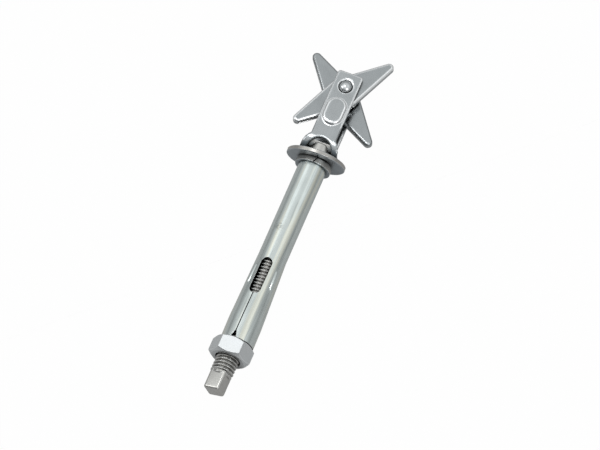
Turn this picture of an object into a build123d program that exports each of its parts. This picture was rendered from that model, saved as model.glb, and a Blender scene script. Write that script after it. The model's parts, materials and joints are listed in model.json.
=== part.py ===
from build123d import *
import math
import os

os.makedirs("parts", exist_ok=True)

# A spring toggle anchor bolt, in millimetres. Each piece is modelled with the stud's
# axis along +Z, the stud's free end at z = 0 and the strap's embossed plate to -Y.
# The whole bolt is then laid down, resting on the rim of its large washer and on one
# flat of its nut, with the toggle wings to +Y and the embossed plate facing up.

# Gaps between pieces, and how far cutters reach past them
seat_gap = 0.05
running_gap = 0.08
side_gap = 0.2
past = 40.0

# Stud: square drive, rod and cross head
rod_d = 8.0
square_flats = 5.95
square_length = 6.4
square_turn = 21.0
square_edge_r = 0.9
square_end = 0.8
thread_lead = 0.8
head_width = 11.8
head_drop = 1.3

# Nut
nut_start = 12.85
nut_height = 6.4
nut_flats = 13.0
nut_face_d = 12.0
nut_chamfer_angle = 35.0
nut_countersink = 0.5

# Expansion sleeve
sleeve_length = 70.4
sleeve_d = 10.0
sleeve_wall = 0.9
flare_d = 11.9
flare_shift = 0.65
flare_straight = 8.0
flare_length = 26.0
flare_overlap = 0.3
slot_start = 17.5
slot_length = 14.35
slot_width = 4.0
slot_turn = -4.5
seam_width = 0.35
seam_mouth = 2.0
seam_mouth_length = 3.2
rib_start = 20.35
rib_length = 9.1
rib_width = 1.3
rib_proud = 0.35
rib_turn = 49.0

# Both washers hang down a little on the stud
washer_hang = 0.3

# Spring washer
lock_d = 12.7
lock_width = 1.9
lock_thickness = 1.8
lock_split = 0.5
lock_split_slant = 25.0
lock_split_turn = 7.0

# Flat washer, lying askew on the stud
washer_d = 21.0
washer_bore = 9.0
washer_thickness = 1.5
washer_edge = 0.2
washer_lean_front = 7.5
washer_lean_side = 2.3

# Folded strap
sheet = 1.5
strap_width = 9.0
strap_depth = 11.0
strap_length = 25.85
strap_corner_r = 1.0
belly_width = 13.6
belly_rise = 7.6
eye_width = 9.3
eye_rise = 5.3
boss_rise = 10.35
boss_length = 10.3
boss_width = 6.8
boss_proud = 1.0
boss_edge_r = 0.7
boss_rim = 0.9

# Rivet
rivet_inset = 5.2
rivet_d = 4.0
rivet_head_d = 4.5
rivet_proud = 1.0
sink_d = 5.5
sink_depth = 0.6
head_seat = 0.4

# Wings
wing_sheet = 0.8
wing_length = 39.9
wing_width = 11.8
wing_tip_r = 1.55
wing_waist_r = 2.0
wing_bend = 0.6
wing_seam = 0.3
wing_seam_depth = 1.2
front_wing_offset = -0.75
front_wing_shift = 1.35
rear_wing_offset = 1.7
rear_wing_shift = 0.85
front_wing_angle = 37.0
rear_wing_angle = -50.0

# Torsion spring between the wings
wire_d = 0.65
wire_sides = 6
coil_space = 1.8
coil_d = 5.8
coil_whole_turns = 1
coil_pitch = 0.7
spring_leg = 6.0

# Heights worked out along the stud
rod_r = rod_d / 2
flare_end = flare_straight + flare_length
nut_end = nut_start + nut_height
sleeve_start = nut_end + seat_gap
sleeve_end = sleeve_start + sleeve_length
lock_start = sleeve_end + seat_gap
lock_end = lock_start + lock_thickness
slope_side = math.tan(math.radians(washer_lean_side))
slope_front = math.tan(math.radians(washer_lean_front))
slope = math.hypot(slope_side, slope_front)
washer_seat = lock_end + slope * lock_d / 2 + seat_gap
washer_top = washer_seat + washer_thickness * math.hypot(1, slope)
bend_r = strap_depth / 2
bend_inner_r = bend_r - sheet
bend_rest = bend_r * math.hypot(1, slope_front) + slope_side * belly_width / 2 - slope_front * washer_hang
bend_z = washer_top + bend_rest + seat_gap
rivet_z = bend_z + strap_length - rivet_inset
head_r = bend_inner_r - running_gap
head_top = bend_z - head_drop
wing_depth = bend_inner_r - side_gap - coil_space / 2


def across(shape, reach):
    """A flat shape drawn in X and Z, extruded along Y to both sides."""
    return extrude(Plane.XZ * shape, amount=reach, both=True)


def along_pin(radius, low, high):
    """A cylinder along Y on the rivet's axis, from low to high."""
    turned = Rot(X=-90) * Cylinder(radius, high - low, align=(Align.CENTER, Align.CENTER, Align.MIN))
    return Pos(0, low, rivet_z) * turned


def upright(radius, low, high):
    """A cylinder along the stud's axis, from low to high."""
    return Pos(0, 0, low) * Cylinder(radius, high - low, align=(Align.CENTER, Align.CENTER, Align.MIN))


def threaded_rod():
    """Square drive end, round rod and a cross head that seats in the strap's bend."""
    drive = extrude(Rectangle(square_flats, square_flats), amount=square_length + thread_lead)
    drive = fillet(drive.edges().filter_by(Axis.Z), square_edge_r)
    drive = chamfer(drive.faces().sort_by(Axis.Z)[0].edges(), square_end)
    rod = upright(rod_r, square_length, bend_z - bend_inner_r / 2)
    rod = chamfer(rod.faces().sort_by(Axis.Z)[0].edges(), thread_lead)
    half_round = Pos(0, bend_z) * Circle(head_r)
    below = Pos(0, head_top) * Rectangle(past, past, align=(Align.CENTER, Align.MAX))
    head = extrude(Plane.YZ * (half_round & below), amount=head_width / 2, both=True)
    head = head & upright(head_width / 2, bend_z - bend_r, bend_z)
    return Rot(Z=-square_turn) * drive + rod + head


def hex_nut():
    """Hexagonal nut with both ends chamfered and a countersunk bore."""
    prism = extrude(RegularPolygon(nut_flats / 2, 6, major_radius=False), amount=nut_height)
    corner_r = nut_flats / math.sqrt(3)
    fall = (corner_r - nut_face_d / 2) * math.tan(math.radians(nut_chamfer_angle))
    profile = Polyline(
        (0, 0),
        (nut_face_d / 2, 0),
        (corner_r, fall),
        (corner_r, nut_height - fall),
        (nut_face_d / 2, nut_height),
        (0, nut_height),
        close=True,
    )
    prism = prism & revolve(Plane.XZ * make_face(profile), axis=Axis.Z)
    bore_r = rod_r + running_gap
    bore = Cylinder(bore_r, nut_height, align=(Align.CENTER, Align.CENTER, Align.MIN))
    nut = prism - bore
    sink = Cone(bore_r + nut_countersink, bore_r, nut_countersink, align=(Align.CENTER, Align.CENTER, Align.MIN))
    nut = nut - sink - Pos(0, 0, nut_height) * Rot(X=180) * sink
    return Pos(0, 0, nut_start) * nut


def flare_at(height):
    """Outer radius and sideways shift of the sleeve, at a height above its flared end."""
    part = min(max((height - flare_straight) / flare_length, 0), 1)
    radius = flare_d / 2 + (sleeve_d / 2 - flare_d / 2) * part
    return radius, flare_shift * max(1 - height / flare_end, 0)


def sleeve_body(inset):
    """The sleeve's solid form, with its surface moved inwards by inset."""
    wide = flare_d / 2 - inset
    narrow = sleeve_d / 2 - inset
    skirt = upright(wide, -flare_overlap, flare_straight)
    flare = Cone(wide, narrow, flare_length, align=(Align.CENTER, Align.CENTER, Align.MIN))
    lean = Rot(Y=-math.degrees(math.atan(flare_shift / flare_end)))
    leaning = Pos(0, 0, flare_end) * lean * Pos(0, 0, -flare_end)
    barrel = upright(narrow, flare_end - flare_overlap, sleeve_length)
    return leaning * (skirt + Pos(0, 0, flare_straight) * flare) + barrel


def sleeve_rib(turn):
    """A raised rib with pointed ends, along the sleeve's side, turned from the front."""
    ends = []
    for height in (rib_start, rib_start + rib_length):
        radius, shift = flare_at(height)
        reach = radius + rib_proud - rib_width / 2
        angle = math.radians(turn)
        ends.append(Vector(shift + reach * math.sin(angle), -reach * math.cos(angle), height))
    spine = ends[1] - ends[0]
    profile = Polyline(
        (0, 0),
        (rib_width / 2, rib_width),
        (rib_width / 2, spine.length - rib_width),
        (0, spine.length),
        close=True,
    )
    rib = revolve(Plane.XZ * make_face(profile), axis=Axis.Z)
    return Plane(origin=ends[0], z_dir=spine) * rib


def expansion_sleeve():
    """Rolled sleeve, flared to the nut, with a window, an open seam and two ribs."""
    sleeve = sleeve_body(0) + sleeve_rib(rib_turn) + sleeve_rib(-rib_turn)
    sleeve = (sleeve - sleeve_body(sleeve_wall)) & upright(past, 0, sleeve_length)
    slot_mid = slot_start + slot_length / 2
    window = Pos(0, slot_mid) * SlotOverall(slot_length, slot_width, rotation=90)
    seam = Rectangle(seam_width, slot_mid, align=(Align.CENTER, Align.MIN))
    mouth = Polyline(
        (-seam_mouth / 2, 0),
        (seam_mouth / 2, 0),
        (0, seam_mouth_length),
        close=True,
    )
    opening = window + seam + make_face(mouth)
    cutter = extrude(Plane.XZ * opening, amount=flare_d)
    return Pos(0, 0, sleeve_start) * (sleeve - Rot(Z=slot_turn) * cutter)


def spring_washer():
    """Split lock washer with a slanted cut."""
    ring = upright(lock_d / 2, lock_start, lock_end) - upright(lock_d / 2 - lock_width, lock_start, lock_end)
    cut = Rot(Y=lock_split_slant) * Box(lock_split, lock_d, lock_d)
    cut = Pos(0, -lock_d / 2, (lock_start + lock_end) / 2) * cut
    return Pos(0, washer_hang, 0) * (ring - Rot(Z=lock_split_turn) * cut)


def flat_washer():
    """Large flat washer, leaning on the split washer below it."""
    disc = extrude(Circle(washer_d / 2) - Circle(washer_bore / 2), amount=washer_thickness)
    disc = chamfer(disc.edges(), washer_edge)
    seat = (0, washer_hang, washer_seat)
    lean = Plane(origin=seat, x_dir=(1, 0, slope_side), z_dir=(-slope_side, -slope_front, 1))
    return lean * disc


def bracket():
    """Folded strap: two plates, a round bend with an eye, and an embossed oval."""
    outer = Circle(bend_r) + Rectangle(strap_depth, strap_length, align=(Align.CENTER, Align.MIN))
    inner_depth = strap_depth - 2 * sheet
    inner = Circle(bend_inner_r) + Rectangle(inner_depth, past, align=(Align.CENTER, Align.MIN))
    strap = extrude(Plane.YZ * (outer - inner), amount=belly_width / 2, both=True)
    plate = Rectangle(strap_width, strap_length, align=(Align.CENTER, Align.MIN))
    plate = fillet(plate.vertices().group_by(Axis.Y)[-1], strap_corner_r)
    belly_low = Pos(0, -bend_r)
    outline = plate + belly_low * Ellipse(belly_width / 2, belly_rise)
    strap = strap & across(outline, strap_depth)
    strap = strap - across(belly_low * Ellipse(eye_width / 2, eye_rise), strap_depth)
    boss = extrude(Plane.XZ * SlotOverall(boss_length, boss_width, rotation=90), amount=sheet + boss_proud)
    boss = fillet(boss.faces().sort_by(Axis.Y)[0].edges(), boss_edge_r)
    hollow_length = boss_length - 2 * boss_rim
    hollow_width = boss_width - 2 * boss_rim
    hollow = extrude(Plane.XZ * SlotOverall(hollow_length, hollow_width, rotation=90), amount=boss_proud)
    boss_place = Pos(0, -bend_inner_r, boss_rise)
    strap = strap + boss_place * boss - boss_place * hollow
    strap = Pos(0, 0, bend_z) * strap
    hole_r = rivet_d / 2 + seat_gap
    strap = strap - along_pin(hole_r, -past, past)
    sink = Cone(hole_r, sink_d / 2, sink_depth, align=(Align.CENTER, Align.CENTER, Align.MAX))
    for turn in (90, -90):
        strap = strap - Pos(0, 0, rivet_z) * Rot(X=turn) * Pos(0, 0, bend_r) * sink
    return strap


def pivot_rivet():
    """Rivet through both plates, its domed heads set in the countersinks."""
    cap_rise = rivet_proud + head_seat
    cap_r = rivet_head_d / 2
    dome_r = (cap_r**2 + cap_rise**2) / (2 * cap_rise)
    top = bend_r + rivet_proud
    dome = Pos(0, 0, top - dome_r) * Sphere(dome_r)
    slice_low = top - cap_rise
    dome = dome & upright(rivet_head_d, slice_low, past)
    rivet = along_pin(rivet_d / 2, -slice_low - seat_gap, slice_low + seat_gap)
    for turn in (90, -90):
        rivet = rivet + Pos(0, 0, rivet_z) * Rot(X=turn) * dome
    return rivet


def wing_outline(inset):
    """The wing's long lozenge, with round tips and waist, moved inwards by inset."""
    tip = wing_length / 2 - wing_tip_r
    waist = wing_width / 2 - wing_waist_r
    rounds = []
    for side in (-1, 1):
        rounds += (Pos(0, side * tip) * Circle(wing_tip_r - inset)).edges()
        rounds += (Pos(side * waist, 0) * Circle(wing_waist_r - inset)).edges()
    return make_hull(rounds)


def wing_hollow():
    """The space in the channel of the upper arm, closed at its web side and its tip."""
    tip = wing_length / 2 - wing_tip_r
    waist = wing_width / 2 - wing_waist_r
    rounds = []
    for start in ((0, tip), (waist, 0), (-wing_width, tip), (-wing_width, 0)):
        inset_r = (wing_tip_r if start[1] else wing_waist_r) - wing_sheet
        rounds += (Pos(*start) * Circle(inset_r)).edges()
    return make_hull(rounds)


def wing(offset, shift, angle, front_y):
    """One pressed wing: two opposite channel arms folded from one sheet."""
    blade = extrude(Plane.XZ * wing_outline(0), amount=-wing_depth)
    folds = blade.faces().sort_by(Axis.Y)[0].edges() + blade.faces().sort_by(Axis.Y)[-1].edges()
    blade = chamfer(folds, wing_bend)
    hollow = extrude(Plane.XZ * wing_hollow(), amount=-(wing_depth - 2 * wing_sheet))
    hollow = Pos(0, wing_sheet, 0) * hollow
    blade = blade - hollow - Rot(Y=180) * hollow
    seam = Box(past, past, wing_seam, align=(Align.CENTER, Align.MIN, Align.CENTER))
    blade = blade - Pos(0, wing_depth - wing_seam_depth, 0) * seam
    placed = Pos(-offset, front_y, -shift) * blade
    placed = Pos(0, 0, rivet_z) * Rot(Y=angle) * placed
    return placed - along_pin(rivet_d / 2 + running_gap, -past, past)


def torsion_spring():
    """Small coil round the rivet, between the wings, with a leg along each of them."""
    turns = coil_whole_turns + (180 - front_wing_angle + rear_wing_angle) / 360
    height = coil_pitch * turns
    coil = Helix(coil_pitch, height, coil_d / 2)
    start = coil @ 0
    end = coil @ 1
    flat_in = Vector((coil % 0).X, (coil % 0).Y, 0).normalized()
    flat_out = Vector((coil % 1).X, (coil % 1).Y, 0).normalized()
    leg_in = Line(start - flat_in * spring_leg, start)
    leg_out = Line(end, end + flat_out * spring_leg)
    path = Wire([leg_in.edge(), coil.edge(), leg_out.edge()])
    section = Plane(origin=path @ 0, z_dir=path % 0) * RegularPolygon(wire_d / 2, wire_sides)
    wire = sweep(section, path=path)
    return Pos(0, 0, rivet_z) * Rot(Y=front_wing_angle) * Pos(0, -height / 2, 0) * Rot(X=-90) * wire


pieces = {
    "threaded_rod": threaded_rod(),
    "hex_nut": hex_nut(),
    "expansion_sleeve": expansion_sleeve(),
    "spring_washer": spring_washer(),
    "flat_washer": flat_washer(),
    "bracket": bracket(),
    "pivot_rivet": pivot_rivet(),
    "front_wing": wing(front_wing_offset, front_wing_shift, front_wing_angle, side_gap - bend_inner_r),
    "rear_wing": wing(rear_wing_offset, rear_wing_shift, rear_wing_angle, coil_space / 2),
    "torsion_spring": torsion_spring(),
}

# The bolt lies on the washer's rim and on the edge of the nut's flat.
rim_reach = washer_d / 2 / math.hypot(1, slope_front)
rim_z = washer_seat + slope_front * rim_reach
flat_z = nut_start + (nut_flats - nut_face_d) / 2 * math.tan(math.radians(nut_chamfer_angle))
rest_tilt = math.degrees(math.atan((rim_reach + washer_hang - nut_flats / 2) / (rim_z - flat_z)))
lie_down = Rot(X=rest_tilt - 90)
box = Compound(children=[lie_down * piece for piece in pieces.values()]).bounding_box()
to_floor = Pos(-box.center().X, -box.center().Y, -box.min.Z)

for name, piece in pieces.items():
    export_step(to_floor * lie_down * piece, f"parts/{name}.step")
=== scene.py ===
import json
import math
import bmesh
import bpy
from mathutils import Matrix, Vector


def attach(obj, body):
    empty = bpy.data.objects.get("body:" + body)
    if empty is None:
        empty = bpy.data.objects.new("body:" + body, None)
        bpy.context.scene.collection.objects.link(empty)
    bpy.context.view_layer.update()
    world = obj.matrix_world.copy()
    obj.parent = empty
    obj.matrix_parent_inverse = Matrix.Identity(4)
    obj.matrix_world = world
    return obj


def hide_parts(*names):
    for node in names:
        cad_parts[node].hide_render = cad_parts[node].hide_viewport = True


bl_info = {
    "name": "Spring Toggle Bolt",
    "version": (1, 0, 0),
    "blender": (4, 5, 0),
    "location": "3D View > Sidebar > Toggle Bolt",
    "description": "Dresses a spring toggle bolt: stud, nut, sleeve, washers, strap and wings",
    "category": "Add Mesh",
}

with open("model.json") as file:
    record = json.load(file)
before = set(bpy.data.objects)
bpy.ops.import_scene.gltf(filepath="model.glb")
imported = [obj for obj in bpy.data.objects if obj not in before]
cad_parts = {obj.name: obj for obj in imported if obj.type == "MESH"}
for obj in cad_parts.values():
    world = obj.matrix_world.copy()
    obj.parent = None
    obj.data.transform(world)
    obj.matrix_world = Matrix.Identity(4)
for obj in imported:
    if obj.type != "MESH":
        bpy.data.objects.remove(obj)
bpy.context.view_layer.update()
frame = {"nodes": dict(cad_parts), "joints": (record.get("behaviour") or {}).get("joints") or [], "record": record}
JOINTS = {joint["name"]: joint for joint in frame["joints"]}
MOUNTS = {mount["name"]: mount for mount in frame["record"]["mounts"]}
MM = 0.001
FULL_TURN = 2 * math.pi


def bolt_axes():
    """The bolt's own axes: X to its right, Y through its plates, Z along its stud."""
    along = Vector(JOINTS["sleeve_slide"]["axis"]).normalized()
    through = Vector(JOINTS["front_wing_hinge"]["axis"]).normalized()
    side = through.cross(along)
    turn = Matrix((side, through, along)).transposed().to_4x4()
    return Matrix.Translation(Vector(MOUNTS["square_drive"]["pos_m"])) @ turn


BOLT = bolt_axes()
TO_BOLT = BOLT.inverted()


def lowest(node):
    """Height along the stud of a CAD node's lowest point."""
    return min((TO_BOLT @ vertex.co).z for vertex in frame["nodes"][node].data.vertices)


class BoltSizes(bpy.types.PropertyGroup):
    """Sizes of the pieces that are modelled here."""

    thread_pitch: bpy.props.FloatProperty(
        name="Thread pitch", description="Height of one turn of the thread",
        default=1.25 * MM, subtype="DISTANCE")
    thread_depth: bpy.props.FloatProperty(
        name="Thread depth", description="From the thread's crest to its root",
        default=0.66 * MM, subtype="DISTANCE")
    thread_reach: bpy.props.FloatProperty(
        name="Thread reach", description="Height at which the thread ends inside the sleeve",
        default=60 * MM, subtype="DISTANCE")
    thread_lead: bpy.props.FloatProperty(
        name="Thread lead", description="Height of the tapered start of the thread",
        default=1.0 * MM, subtype="DISTANCE")
    square_flats: bpy.props.FloatProperty(
        name="Square drive", description="Width across the flats of the square end",
        default=5.95 * MM, subtype="DISTANCE")
    square_edge: bpy.props.FloatProperty(
        name="Square edge", description="Radius of the square end's long edges",
        default=0.9 * MM, subtype="DISTANCE")
    square_end: bpy.props.FloatProperty(
        name="Square end", description="Rounding of the square end's rim",
        default=0.8 * MM, subtype="DISTANCE")
    square_turn: bpy.props.FloatProperty(
        name="Square turn", description="Turn of the square end about the stud",
        default=math.radians(-21), subtype="ANGLE")
    edge_round: bpy.props.FloatProperty(
        name="Edge rounding", description="Radius that the finish shows on a plain edge",
        default=0.22 * MM, subtype="DISTANCE")
    boss_drop: bpy.props.FloatProperty(
        name="Boss drop", description="From the rivet down to the middle of the strap's boss",
        default=10.3 * MM, subtype="DISTANCE")
    plate_rise: bpy.props.FloatProperty(
        name="Plate rise", description="From the rivet's middle up to the strap's front plate",
        default=6 * MM, subtype="DISTANCE")
    fold_drop: bpy.props.FloatProperty(
        name="Fold drop", description="From the rivet down to the strap's round bend",
        default=21 * MM, subtype="DISTANCE")
    fold_rise: bpy.props.FloatProperty(
        name="Fold rise", description="From the rivet's middle up to the bend's upper side",
        default=4 * MM, subtype="DISTANCE")
    rubbed_place: bpy.props.FloatVectorProperty(
        name="Rubbed place", description="Where the sleeve's plating is rubbed, on the resting bolt",
        default=(-1.1 * MM, -4.3 * MM, 13.9 * MM), subtype="TRANSLATION")


class BoltColours(bpy.types.PropertyGroup):
    """Colours of the metals and of the stage."""

    stainless: bpy.props.FloatVectorProperty(
        name="Stainless", description="Base colour of the strap",
        default=(0.41, 0.43, 0.44), subtype="COLOR")
    wing: bpy.props.FloatVectorProperty(
        name="Wing", description="Base colour of the wings and their spring",
        default=(0.36, 0.38, 0.39), subtype="COLOR")
    zinc: bpy.props.FloatVectorProperty(
        name="Zinc", description="Base colour of the plated sleeve",
        default=(0.60, 0.65, 0.64), subtype="COLOR")
    zinc_tint: bpy.props.FloatVectorProperty(
        name="Zinc tint", description="Colour of the faint streaks in the plating",
        default=(0.74, 0.71, 0.58), subtype="COLOR")
    nut: bpy.props.FloatVectorProperty(
        name="Nut", description="Base colour of the nut",
        default=(0.61, 0.63, 0.64), subtype="COLOR")
    thread: bpy.props.FloatVectorProperty(
        name="Thread", description="Base colour of the stud",
        default=(0.50, 0.495, 0.475), subtype="COLOR")
    washer: bpy.props.FloatVectorProperty(
        name="Washer", description="Base colour of the washers' faces",
        default=(0.31, 0.345, 0.37), subtype="COLOR")
    rim: bpy.props.FloatVectorProperty(
        name="Rim", description="Base colour of the washers' cut rims",
        default=(0.40, 0.39, 0.37), subtype="COLOR")
    # Worn edges, and the painted highlights on edges and bends.
    polish_and_highlight: bpy.props.FloatVectorProperty(
        name="Polish", description="Colour of worn edges and bends",
        default=(0.95, 0.96, 0.97), subtype="COLOR")
    # Painted shade, laid into gaps, tight corners and thread roots where ambient occlusion finds them.
    gap_shade: bpy.props.FloatVectorProperty(
        name="Grime", description="Colour of oil and dirt in gaps and thread roots",
        default=(0.035, 0.033, 0.030), subtype="COLOR")
    floor: bpy.props.FloatVectorProperty(
        name="Floor", description="Colour of the plain floor",
        default=(1.0, 1.0, 1.0), subtype="COLOR")


class StageSettings(bpy.types.PropertyGroup):
    """Camera angle, distance and scale in the image."""

    azimuth: bpy.props.FloatProperty(
        name="Azimuth", description="Turn of the camera about the vertical",
        default=math.radians(20.1), subtype="ANGLE")
    elevation: bpy.props.FloatProperty(
        name="Elevation", description="How steeply the camera looks down",
        default=math.radians(62.4), subtype="ANGLE")
    roll: bpy.props.FloatProperty(
        name="Roll", description="Turn of the camera about its line of sight",
        default=math.radians(2.0), subtype="ANGLE")
    distance: bpy.props.FloatProperty(
        name="Distance", description="From the camera to the point it looks at",
        default=2.5, subtype="DISTANCE")
    pixels_per_mm: bpy.props.FloatProperty(
        name="Scale", description="Pixels of the 600 by 450 image to one millimetre",
        default=2.91)
    pivot_pixel: bpy.props.FloatVectorProperty(
        name="Pivot pixel", description="Where the rivet's middle stands in the image",
        default=(345.6, 93.3), size=2)


def settings():
    return bpy.context.scene.bolt_sizes, bpy.context.scene.bolt_colours, bpy.context.scene.bolt_stage


def cad_copy(node):
    """A merged copy of a CAD node's mesh, in the bolt's own axes."""
    form = bmesh.new()
    form.from_mesh(frame["nodes"][node].data)
    bmesh.ops.remove_doubles(form, verts=form.verts, dist=0.001 * MM)
    bmesh.ops.transform(form, matrix=TO_BOLT, verts=form.verts)
    return form


def finish_piece(form, name, body, replaced, material, sharp=math.radians(32)):
    bmesh.ops.transform(form, matrix=BOLT, verts=form.verts)
    for face in form.faces:
        face.smooth = True
    for edge in form.edges:
        edge.smooth = len(edge.link_faces) == 2 and edge.calc_face_angle(0) < sharp
    mesh = bpy.data.meshes.new(name)
    form.to_mesh(mesh)
    form.free()
    mesh.materials.append(material)
    piece = bpy.data.objects.new(name, mesh)
    bpy.context.scene.collection.objects.link(piece)
    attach(piece, body)
    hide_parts(replaced)
    return piece


class Finish:
    """A procedural finish, built node by node on Object coordinates."""

    # How fine each noise is, in features to the metre.
    CLOUD, GRAIN, SPECK, RUB, TINT, LINE = 190, 2400, 1100, 1300, 420, 1500

    def __init__(self, name):
        self.material = bpy.data.materials.new(name)
        self.material.use_nodes = True
        self.tree = self.material.node_tree
        self.shader = self.tree.nodes["Principled BSDF"]
        self.place = self.add("ShaderNodeTexCoord").outputs["Object"]

    def add(self, kind, **values):
        node = self.tree.nodes.new(kind)
        for key, value in values.items():
            setattr(node, key, value)
        return node

    def link(self, source, target):
        self.tree.links.new(source, target)

    def noise(self, scale, stretch=(1, 1, 1), detail=3.0, rough=0.5):
        """Noise on the piece, pulled out along an axis by a small stretch factor."""
        mapping = self.add("ShaderNodeMapping")
        mapping.inputs["Scale"].default_value = stretch
        self.link(self.place, mapping.inputs["Vector"])
        noise = self.add("ShaderNodeTexNoise")
        noise.inputs["Scale"].default_value = scale
        noise.inputs["Detail"].default_value = detail
        noise.inputs["Roughness"].default_value = rough
        self.link(mapping.outputs["Vector"], noise.inputs["Vector"])
        return noise.outputs["Fac"]

    def ramp(self, source, low, high):
        """A smooth step of a value, from 0 at low to 1 at high."""
        step = self.add("ShaderNodeMapRange", interpolation_type="SMOOTHSTEP")
        step.inputs["From Min"].default_value = low
        step.inputs["From Max"].default_value = high
        self.link(source, step.inputs["Value"])
        return step.outputs["Result"]

    def between(self, source, low, high):
        """A value from 0 to 1 spread from low to high."""
        spread = self.add("ShaderNodeMapRange")
        spread.inputs["To Min"].default_value = low
        spread.inputs["To Max"].default_value = high
        self.link(source, spread.inputs["Value"])
        return spread.outputs["Result"]

    def mix(self, factor, first, second):
        """A colour between two colours or outputs."""
        mix = self.add("ShaderNodeMix", data_type="RGBA")
        self.link(factor, mix.inputs["Factor"])
        for value, socket in ((first, mix.inputs[6]), (second, mix.inputs[7])):
            if hasattr(value, "links"):
                self.link(value, socket)
            else:
                socket.default_value = (*value, 1.0)
        return mix.outputs[2]

    def rounded(self, radius):
        """Normals rounded at the edges, and a mask that is 1 on those edges."""
        bevel = self.add("ShaderNodeBevel", samples=8)
        bevel.inputs["Radius"].default_value = radius
        flat = self.add("ShaderNodeNewGeometry")
        dot = self.add("ShaderNodeVectorMath", operation="DOT_PRODUCT")
        self.link(bevel.outputs["Normal"], dot.inputs[0])
        self.link(flat.outputs["Normal"], dot.inputs[1])
        return bevel.outputs["Normal"], self.ramp(dot.outputs["Value"], 0.988, 0.95)

    def facing(self, normal, direction):
        """How far a normal points along a fixed direction, either way: 1 is right along it."""
        dot = self.add("ShaderNodeVectorMath", operation="DOT_PRODUCT")
        dot.inputs[1].default_value = direction
        self.link(normal, dot.inputs[0])
        size = self.add("ShaderNodeMath", operation="ABSOLUTE")
        self.link(dot.outputs["Value"], size.inputs[0])
        return size.outputs["Value"]

    def near(self, point, inner, outer):
        """1 up to the inner distance from a point of the resting piece, 0 from the outer on."""
        place = self.add("ShaderNodeTexCoord")
        gap = self.add("ShaderNodeVectorMath", operation="DISTANCE")
        gap.inputs[1].default_value = point
        self.link(place.outputs["Object"], gap.inputs[0])
        return self.ramp(gap.outputs["Value"], outer, inner)

    def open_sky(self, reach, low, high):
        """1 where the surface is open, falling to 0 in gaps and roots within reach."""
        shade = self.add("ShaderNodeAmbientOcclusion", samples=12)
        shade.inputs["Distance"].default_value = reach
        return self.ramp(shade.outputs["AO"], low, high)

    def times(self, first, second):
        product = self.add("ShaderNodeMath", operation="MULTIPLY")
        for value, socket in ((first, product.inputs[0]), (second, product.inputs[1])):
            if hasattr(value, "links"):
                self.link(value, socket)
            else:
                socket.default_value = value
        return product.outputs["Value"]

    def bump(self, height, distance, normal=None):
        bump = self.add("ShaderNodeBump")
        bump.inputs["Distance"].default_value = distance
        self.link(height, bump.inputs["Height"])
        if normal is not None:
            self.link(normal, bump.inputs["Normal"])
        return bump.outputs["Normal"]


def shade_of(colour, amount):
    return tuple(channel * amount for channel in colour)


def plating(finish, base, colour, colours, amount):
    """Warm bands and fine darker lines along a drawn, plated surface."""
    band = finish.ramp(finish.noise(finish.TINT, stretch=(1, 0.012, 1), detail=2), 0.50, 0.62)
    base = finish.mix(finish.times(band, amount), base, tuple(colours.zinc_tint))
    line = finish.ramp(finish.noise(finish.LINE, stretch=(1, 0.008, 1), detail=2), 0.56, 0.70)
    return finish.mix(finish.times(line, amount), base, shade_of(colour, 0.62))


def painted_bend_highlights(finish, base, colours, normal, near):
    """Painted highlights where the sheet turns away from its flat face, within reach of a point if one is given.
    """
    flat = finish.facing(normal, BOLT.col[1].xyz)
    bend = finish.times(finish.ramp(flat, 0.995, 0.96), finish.ramp(flat, 0.30, 0.60))
    if near is not None:
        bend = finish.times(bend, finish.near(near, 6.5 * MM, 7.5 * MM))
    return finish.mix(finish.times(bend, 0.9), base, tuple(colours.polish_and_highlight))


def rubbed(finish, base, colour, place):
    """A patchy darker spot where the plating is rubbed."""
    patch = finish.ramp(finish.noise(finish.RUB), 0.42, 0.56)
    spot = finish.times(finish.near(place, 0.6 * MM, 2.0 * MM), patch)
    return finish.mix(finish.times(spot, 0.6), base, shade_of(colour, 0.35))


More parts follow.
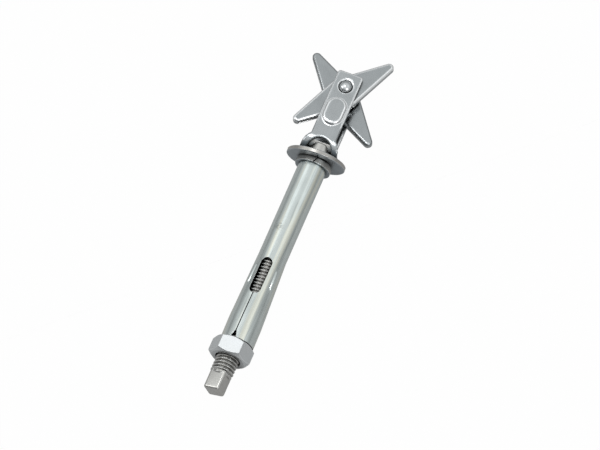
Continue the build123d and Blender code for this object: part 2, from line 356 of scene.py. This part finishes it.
def steel(name, colour, rough, sizes, colours, brush=(1, 1, 1), grain_depth=0.0015 * MM, cloudy=0.10,
          gap=6 * MM, gap_open=(0.12, 0.62), edge_round=1.0, edge_wear_and_shine=0.9, plain_edges_near=None,
          bend_highlights=False, bend_highlights_near=None, rim=None, streaks=0.0, rubbed_at=None):
    """Steel with drawn grain, cloudy gloss, specks, edges brightened as wear and painted highlight, and painted
    shade in gaps.

    brush stretches the grain, and cloudy and streaks are how strongly the colour varies. gap is how
    far the painted shade reaches out of a corner, and gap_open the openness between which it fades. edge_round
    multiplies the sizes' edge rounding, and edge_wear_and_shine is how brightly the edges are painted, except near
    plain_edges_near. bend_highlights paints highlights on the bends, near bend_highlights_near if one is given.
    """
    finish = Finish(name)
    shader = finish.shader
    shader.inputs["Metallic"].default_value = 1.0
    normal, edge = finish.rounded(sizes.edge_round * edge_round)
    cloud = finish.noise(finish.CLOUD, detail=4)
    grain = finish.noise(finish.GRAIN, stretch=brush, detail=3)
    speck = finish.ramp(finish.noise(finish.SPECK, detail=2), 0.72, 0.78)
    base = finish.mix(cloud, shade_of(colour, 1 - 2 * cloudy), shade_of(colour, 1 + cloudy))
    if streaks:
        base = plating(finish, base, colour, colours, streaks)
    if rim is not None:
        side = finish.ramp(finish.facing(normal, BOLT.col[2].xyz), 0.55, 0.35)
        base = finish.mix(side, base, rim)
    # Painted highlights on the sheet's bends.
    if bend_highlights:
        base = painted_bend_highlights(finish, base, colours, normal, bend_highlights_near)
    if rubbed_at is not None:
        base = rubbed(finish, base, colour, rubbed_at)
    base = finish.mix(finish.times(speck, 0.30), base, shade_of(colour, 0.45))
    # Edges brightened towards the polish colour: partly wear, partly painted highlights.
    if plain_edges_near is not None:
        edge = finish.times(edge, finish.near(plain_edges_near, 9.5 * MM, 7.5 * MM))
    base = finish.mix(finish.times(edge, edge_wear_and_shine), base, tuple(colours.polish_and_highlight))
    # Painted shade: the colour darkens in gaps, thread roots and tight corners found by ambient occlusion; seam is
    # the close shade within about a millimetre.
    seam = finish.open_sky(1.1 * MM, 0.30, 0.85)
    unshaded = finish.times(finish.open_sky(gap, *gap_open), seam)
    base = finish.mix(unshaded, tuple(colours.gap_shade), base)
    finish.link(base, shader.inputs["Base Color"])
    finish.link(finish.between(grain, *rough), shader.inputs["Roughness"])
    finish.link(finish.bump(grain, grain_depth, normal), shader.inputs["Normal"])
    return finish.material


class BOLT_OT_stud(bpy.types.Operator):
    """Stud with its square end, cut thread, polished shank and cross head"""

    bl_idname = "bolt.stud"
    bl_label = "Stud"

    def execute(self, context):
        sizes, colours, _ = settings()
        dims = MOUNTS["thread"]["dims"]
        thread_start = lowest("hex_nut") - dims["length_mm"] * MM - sizes.thread_lead
        radius = dims["r_mm"] * MM
        form = self.shank(sizes)
        self.thread(form, sizes, thread_start, radius)
        self.drive(form, sizes, thread_start)
        finish = steel(
            "stud_steel", colours.thread, (0.22, 0.42), sizes, colours, grain_depth=0.003 * MM,
            gap=1.6 * MM, gap_open=(0.22, 0.70), edge_round=0.5)
        finish_piece(form, "stud", "stud", "threaded_rod", finish)
        return {"FINISHED"}

    def shank(self, sizes):
        """The shank above the thread, with the cross head, cut from the CAD form."""
        form = cad_copy("threaded_rod")
        everything = form.verts[:] + form.edges[:] + form.faces[:]
        cut = (0, 0, sizes.thread_reach)
        bmesh.ops.bisect_plane(form, geom=everything, plane_co=cut, plane_no=(0, 0, 1), clear_inner=True)
        bmesh.ops.holes_fill(form, edges=[edge for edge in form.edges if edge.is_boundary])
        return form

    def thread(self, form, sizes, start, radius):
        """One pitch of the thread's section, wound up the stud and trimmed to its ends."""
        pitch = sizes.thread_pitch
        root = radius - sizes.thread_depth
        section = ((0, root), (0.06, root), (0.42, radius), (0.56, radius), (0.92, root), (1, root))
        wound = bmesh.new()
        points = [wound.verts.new((r, 0, start - pitch + share * pitch)) for share, r in section]
        for first, second in zip(points, points[1:]):
            wound.edges.new((first, second))
        turns = math.ceil((sizes.thread_reach - start) / pitch) + 2
        steps = 48
        bmesh.ops.spin(
            wound, geom=wound.verts[:] + wound.edges[:], cent=(0, 0, 0), axis=(0, 0, 1),
            dvec=(0, 0, pitch / steps), angle=FULL_TURN * turns, steps=steps * turns)
        bmesh.ops.remove_doubles(wound, verts=wound.verts, dist=0.005 * MM)
        for height, way in ((start, -1), (sizes.thread_reach, 1)):
            everything = wound.verts[:] + wound.edges[:] + wound.faces[:]
            bmesh.ops.bisect_plane(
                wound, geom=everything, plane_co=(0, 0, height), plane_no=(0, 0, way), clear_outer=True)
        bmesh.ops.holes_fill(wound, edges=[edge for edge in wound.edges if edge.is_boundary])
        for vertex in wound.verts:
            reach = vertex.co.xy.length
            limit = root + (vertex.co.z - start) * sizes.thread_depth / sizes.thread_lead
            if reach > limit:
                vertex.co.xy *= limit / reach
        bmesh.ops.recalc_face_normals(wound, faces=wound.faces)
        self.join(form, wound)

    def drive(self, form, sizes, top):
        """The square end, with rounded long edges and a softened end."""
        drive = bmesh.new()
        height = top + sizes.thread_lead
        bmesh.ops.create_cube(drive, size=1)
        bmesh.ops.transform(
            drive, verts=drive.verts,
            matrix=Matrix.Diagonal((sizes.square_flats, sizes.square_flats, height, 1)))
        bmesh.ops.translate(drive, verts=drive.verts, vec=(0, 0, height / 2))
        upright = [
            edge for edge in drive.edges
            if abs(edge.verts[0].co.z - edge.verts[1].co.z) > height / 2]
        bmesh.ops.bevel(
            drive, geom=upright, offset=sizes.square_edge, affect="EDGES", segments=6, profile=0.5,
            material=-1)
        rim = [edge for edge in drive.edges if max(vertex.co.z for vertex in edge.verts) < height / 4]
        bmesh.ops.bevel(
            drive, geom=rim, offset=sizes.square_end, affect="EDGES", segments=4, profile=0.5, material=-1)
        bmesh.ops.rotate(
            drive, verts=drive.verts, cent=(0, 0, 0), matrix=Matrix.Rotation(sizes.square_turn, 3, "Z"))
        self.join(form, drive)

    def join(self, form, other):
        """Adds another form's mesh to the form."""
        mesh = bpy.data.meshes.new("joined")
        other.to_mesh(mesh)
        other.free()
        form.from_mesh(mesh)
        bpy.data.meshes.remove(mesh)


class BOLT_OT_nut(bpy.types.Operator):
    """Hexagonal nut, chamfered at both ends"""

    bl_idname = "bolt.nut"
    bl_label = "Nut"

    def execute(self, context):
        sizes, colours, _ = settings()
        finish = steel(
            "nut_steel", colours.nut, (0.36, 0.50), sizes, colours, grain_depth=0.003 * MM, cloudy=0.04,
            gap=8 * MM, gap_open=(0.15, 0.75))
        finish_piece(cad_copy("hex_nut"), "nut", "nut", "hex_nut", finish)
        return {"FINISHED"}


class BOLT_OT_sleeve(bpy.types.Operator):
    """Plated expansion sleeve with its window and seam"""

    bl_idname = "bolt.sleeve"
    bl_label = "Sleeve"

    def execute(self, context):
        sizes, colours, _ = settings()
        finish = steel(
            "sleeve_zinc", colours.zinc, (0.16, 0.30), sizes, colours, brush=(1, 0.03, 1), cloudy=0.06,
            gap=3 * MM, edge_round=0.5, edge_wear_and_shine=0.5, streaks=0.5, rubbed_at=sizes.rubbed_place)
        finish_piece(
            cad_copy("expansion_sleeve"), "sleeve", "sleeve_set", "expansion_sleeve", finish)
        return {"FINISHED"}


class BOLT_OT_washers(bpy.types.Operator):
    """Split spring washer and large flat washer"""

    bl_idname = "bolt.washers"
    bl_label = "Washers"

    def execute(self, context):
        sizes, colours, _ = settings()
        for name, node, slot in (
            ("lock_ring", "spring_washer", "spring_washer_steel"),
            ("large_washer", "flat_washer", "washer_steel"),
        ):
            finish = steel(
                slot, colours.washer, (0.26, 0.42), sizes, colours, grain_depth=0.004 * MM,
                gap=3.5 * MM, gap_open=(0.15, 0.72), edge_round=0.6, rim=colours.rim)
            finish_piece(cad_copy(node), name, "sleeve_set", node, finish)
        return {"FINISHED"}


class BOLT_OT_strap(bpy.types.Operator):
    """Folded strap and its rivet"""

    bl_idname = "bolt.strap"
    bl_label = "Strap and rivet"

    def execute(self, context):
        sizes, colours, _ = settings()
        pivot = Vector(JOINTS["front_wing_hinge"]["pos_m"])
        along = BOLT.col[2].xyz
        boss = pivot - along * sizes.boss_drop + Vector((0, 0, sizes.plate_rise))
        fold = pivot - along * sizes.fold_drop + Vector((0, 0, sizes.fold_rise))
        # The strap's edges and the bends round its boss get painted highlights, but not the edges near the round
        # fold.
        finish = steel(
            "strap_steel", colours.stainless, (0.16, 0.26), sizes, colours, brush=(1, 0.04, 1),
            gap=7 * MM, edge_round=5.0, edge_wear_and_shine=1.0, plain_edges_near=fold, bend_highlights=True, bend_highlights_near=boss)
        finish_piece(cad_copy("bracket"), "strap", "stud", "bracket", finish)
        finish = steel(
            "rivet_steel", colours.nut, (0.12, 0.30), sizes, colours, grain_depth=0.010 * MM,
            gap=2.5 * MM, gap_open=(0.35, 0.9))
        finish_piece(cad_copy("pivot_rivet"), "rivet", "stud", "pivot_rivet", finish)
        return {"FINISHED"}


class BOLT_OT_wings(bpy.types.Operator):
    """Both pressed wings and the spring between them"""

    bl_idname = "bolt.wings"
    bl_label = "Wings and spring"

    def execute(self, context):
        sizes, colours, _ = settings()
        # One colour for both wings: painted highlights on the front wing's edges and bends, which catch the light,
        # and hardly any on the rear wing, which lies in shade.
        for name, node, body, slot, edge_wear_and_shine in (
            ("wing_front", "front_wing", "front_wing", "front_wing_steel", 1.0),
            ("wing_rear", "rear_wing", "rear_wing", "rear_wing_steel", 0.1),
            ("coil", "torsion_spring", "stud", "spring_wire", 0.5),
        ):
            finish = steel(
                slot, colours.wing, (0.14, 0.24), sizes, colours, gap=5 * MM, edge_round=3.6,
                edge_wear_and_shine=edge_wear_and_shine, bend_highlights=edge_wear_and_shine == 1.0)
            finish_piece(cad_copy(node), name, body, node, finish)
        return {"FINISHED"}


class BOLT_OT_stage(bpy.types.Operator):
    """Pale floor, soft studio light and the camera"""

    bl_idname = "bolt.stage"
    bl_label = "Stage"

    # How much of the floor's even glow each kind of ray sees, and the grey that lights the bolt.
    GLOW = (("Is Camera Ray", 0.985), ("Is Glossy Ray", 0.14))
    FLOOR_GREY = 0.42
    # How far the painted contact shadow on the floor reaches.
    CONTACT = 3 * MM
    # Sky strength, from just above the horizon to well overhead.
    SKY = (("From Min", 0.05), ("From Max", 0.72), ("To Min", 0.38), ("To Max", 0.92))
    # Direction, inner and outer half angle in degrees, and added strength. The last one takes light away.
    SOFT_BOXES = (
        ((-0.476, 0.347, 0.81), 3, 13, 0.55),
        ((0.50, 0.345, 0.79), 4, 16, 0.35),
        ((-0.15, -0.95, 0.25), 10, 50, -0.45),
    )
    # Name, place, width and power.
    LAMPS = (
        ("overhead", (-0.25, 0.02, 1.2), 0.30, 2.2),
        ("left", (-0.90, -0.24, 0.75), 0.45, 2.2),
        ("right", (0.72, -0.54, 0.80), 0.50, 2.6),
    )

    def execute(self, context):
        _, colours, stage = settings()
        self.floor(colours)
        self.world()
        self.lamps()
        self.camera(stage)
        context.scene.view_settings.view_transform = "Standard"
        return {"FINISHED"}

    def floor(self, colours):
        """An evenly white floor to the camera, a grey one to the metal, with a painted contact shadow under the
        bolt.
        """
        form = bmesh.new()
        bmesh.ops.create_grid(form, x_segments=1, y_segments=1, size=8)
        mesh = bpy.data.meshes.new("floor")
        form.to_mesh(mesh)
        form.free()
        floor = bpy.data.objects.new("floor", mesh)
        bpy.context.scene.collection.objects.link(floor)
        material = bpy.data.materials.new("pale_floor")
        material.use_nodes = True
        tree = material.node_tree
        shader = tree.nodes["Principled BSDF"]
        shader.inputs["Base Color"].default_value = (*shade_of(colours.floor, self.FLOOR_GREY), 1)
        shader.inputs["Roughness"].default_value = 0.9
        shader.inputs["Specular IOR Level"].default_value = 0.0
        # Painted contact shadow: the floor's glow dims where the bolt hems it in.
        contact = tree.nodes.new("ShaderNodeAmbientOcclusion")
        contact.inputs["Distance"].default_value = self.CONTACT
        fade = tree.nodes.new("ShaderNodeMapRange")
        fade.inputs["From Max"].default_value = 0.45
        tree.links.new(contact.outputs["AO"], fade.inputs["Value"])
        glow = tree.nodes.new("ShaderNodeEmission")
        glow.inputs["Color"].default_value = (*colours.floor, 1)
        tree.links.new(fade.outputs["Result"], glow.inputs["Strength"])
        rays = tree.nodes.new("ShaderNodeLightPath")
        share = 0
        for ray, amount in self.GLOW:
            part = tree.nodes.new("ShaderNodeMath")
            part.operation = "MULTIPLY_ADD"
            part.inputs[1].default_value = amount
            tree.links.new(rays.outputs[ray], part.inputs[0])
            if share:
                tree.links.new(share, part.inputs[2])
            else:
                part.inputs[2].default_value = 0
            share = part.outputs[0]
        mix = tree.nodes.new("ShaderNodeMixShader")
        tree.links.new(share, mix.inputs["Fac"])
        tree.links.new(shader.outputs[0], mix.inputs[1])
        tree.links.new(glow.outputs[0], mix.inputs[2])
        tree.links.new(mix.outputs[0], tree.nodes["Material Output"].inputs["Surface"])
        mesh.materials.append(material)

    def world(self):
        """A bright overhead, darker towards the horizon, with soft boxes of light."""
        world = bpy.data.worlds.new("studio")
        bpy.context.scene.world = world
        world.use_nodes = True
        tree = world.node_tree
        shade = tree.nodes["Background"]
        place = tree.nodes.new("ShaderNodeTexCoord").outputs["Generated"]
        split = tree.nodes.new("ShaderNodeSeparateXYZ")
        tree.links.new(place, split.inputs[0])
        light = tree.nodes.new("ShaderNodeMapRange")
        light.interpolation_type = "SMOOTHSTEP"
        for key, value in self.SKY:
            light.inputs[key].default_value = value
        tree.links.new(split.outputs["Z"], light.inputs["Value"])
        light = light.outputs["Result"]
        for direction, inner, outer, power in self.SOFT_BOXES:
            dot = tree.nodes.new("ShaderNodeVectorMath")
            dot.operation = "DOT_PRODUCT"
            dot.inputs[1].default_value = direction
            tree.links.new(place, dot.inputs[0])
            lobe = tree.nodes.new("ShaderNodeMapRange")
            lobe.interpolation_type = "SMOOTHSTEP"
            lobe.inputs["From Min"].default_value = math.cos(math.radians(outer))
            lobe.inputs["From Max"].default_value = math.cos(math.radians(inner))
            lobe.inputs["To Max"].default_value = power
            tree.links.new(dot.outputs["Value"], lobe.inputs["Value"])
            total = tree.nodes.new("ShaderNodeMath")
            total.operation = "ADD"
            tree.links.new(light, total.inputs[0])
            tree.links.new(lobe.outputs["Result"], total.inputs[1])
            light = total.outputs[0]
        tree.links.new(light, shade.inputs["Strength"])
        shade.inputs["Color"].default_value = (0.98, 1.0, 1.0, 1)

    def lamps(self):
        for name, place, width, power in self.LAMPS:
            light = bpy.data.lights.new(name, "AREA")
            light.size = width
            light.energy = power
            lamp = bpy.data.objects.new(name, light)
            lamp.location = place
            lamp.rotation_euler = (-Vector(place)).to_track_quat("-Z", "Y").to_euler()
            bpy.context.scene.collection.objects.link(lamp)

    def camera(self, stage):
        """A long lens that puts the rivet on its pixel at the stage's scale."""
        width, height = 600, 450
        sight = Vector((
            -math.sin(stage.azimuth) * math.cos(stage.elevation),
            math.cos(stage.azimuth) * math.cos(stage.elevation),
            -math.sin(stage.elevation)))
        level = Vector((math.cos(stage.azimuth), math.sin(stage.azimuth), 0))
        up = level.cross(sight)
        right = level * math.cos(stage.roll) + up * math.sin(stage.roll)
        up = right.cross(sight)
        pixel = MM / stage.pixels_per_mm
        across = (stage.pivot_pixel[0] - width / 2) * pixel
        down = (stage.pivot_pixel[1] - height / 2) * pixel
        pivot = Vector(JOINTS["front_wing_hinge"]["pos_m"])
        aim = pivot - right * across + up * down
        camera = bpy.data.cameras.new("camera")
        camera.sensor_width = 36
        camera.lens = camera.sensor_width * stage.distance / (width * pixel)
        camera.clip_end = 50
        seat = bpy.data.objects.new("camera", camera)
        turn = Matrix((right, up, -sight)).transposed().to_4x4()
        seat.matrix_world = Matrix.Translation(aim - sight * stage.distance) @ turn
        bpy.context.scene.collection.objects.link(seat)
        bpy.context.scene.camera = seat


class BOLT_PT_panel(bpy.types.Panel):
    """Lists the bolt's sizes, colours and pieces"""

    bl_idname = "BOLT_PT_panel"
    bl_label = "Toggle Bolt"
    bl_space_type = "VIEW_3D"
    bl_region_type = "UI"
    bl_category = "Toggle Bolt"

    def draw(self, context):
        for group in settings():
            box = self.layout.box()
            for key in group.__annotations__:
                box.prop(group, key)
        for operator in OPERATORS:
            self.layout.operator(operator.bl_idname)


GROUPS = {"bolt_sizes": BoltSizes, "bolt_colours": BoltColours, "bolt_stage": StageSettings}
OPERATORS = (
    BOLT_OT_stage, BOLT_OT_stud, BOLT_OT_nut, BOLT_OT_sleeve,
    BOLT_OT_washers, BOLT_OT_strap, BOLT_OT_wings,
)


def register():
    for name, group in GROUPS.items():
        bpy.utils.register_class(group)
        setattr(bpy.types.Scene, name, bpy.props.PointerProperty(type=group))
    for kind in (*OPERATORS, BOLT_PT_panel):
        bpy.utils.register_class(kind)


def unregister():
    for kind in (BOLT_PT_panel, *reversed(OPERATORS)):
        bpy.utils.unregister_class(kind)
    for name, group in GROUPS.items():
        delattr(bpy.types.Scene, name)
        bpy.utils.unregister_class(group)


def main():
    register()
    for operator in OPERATORS:
        group, name = operator.bl_idname.split(".")
        getattr(getattr(bpy.ops, group), name)()


if __name__ == "__main__":
    main()
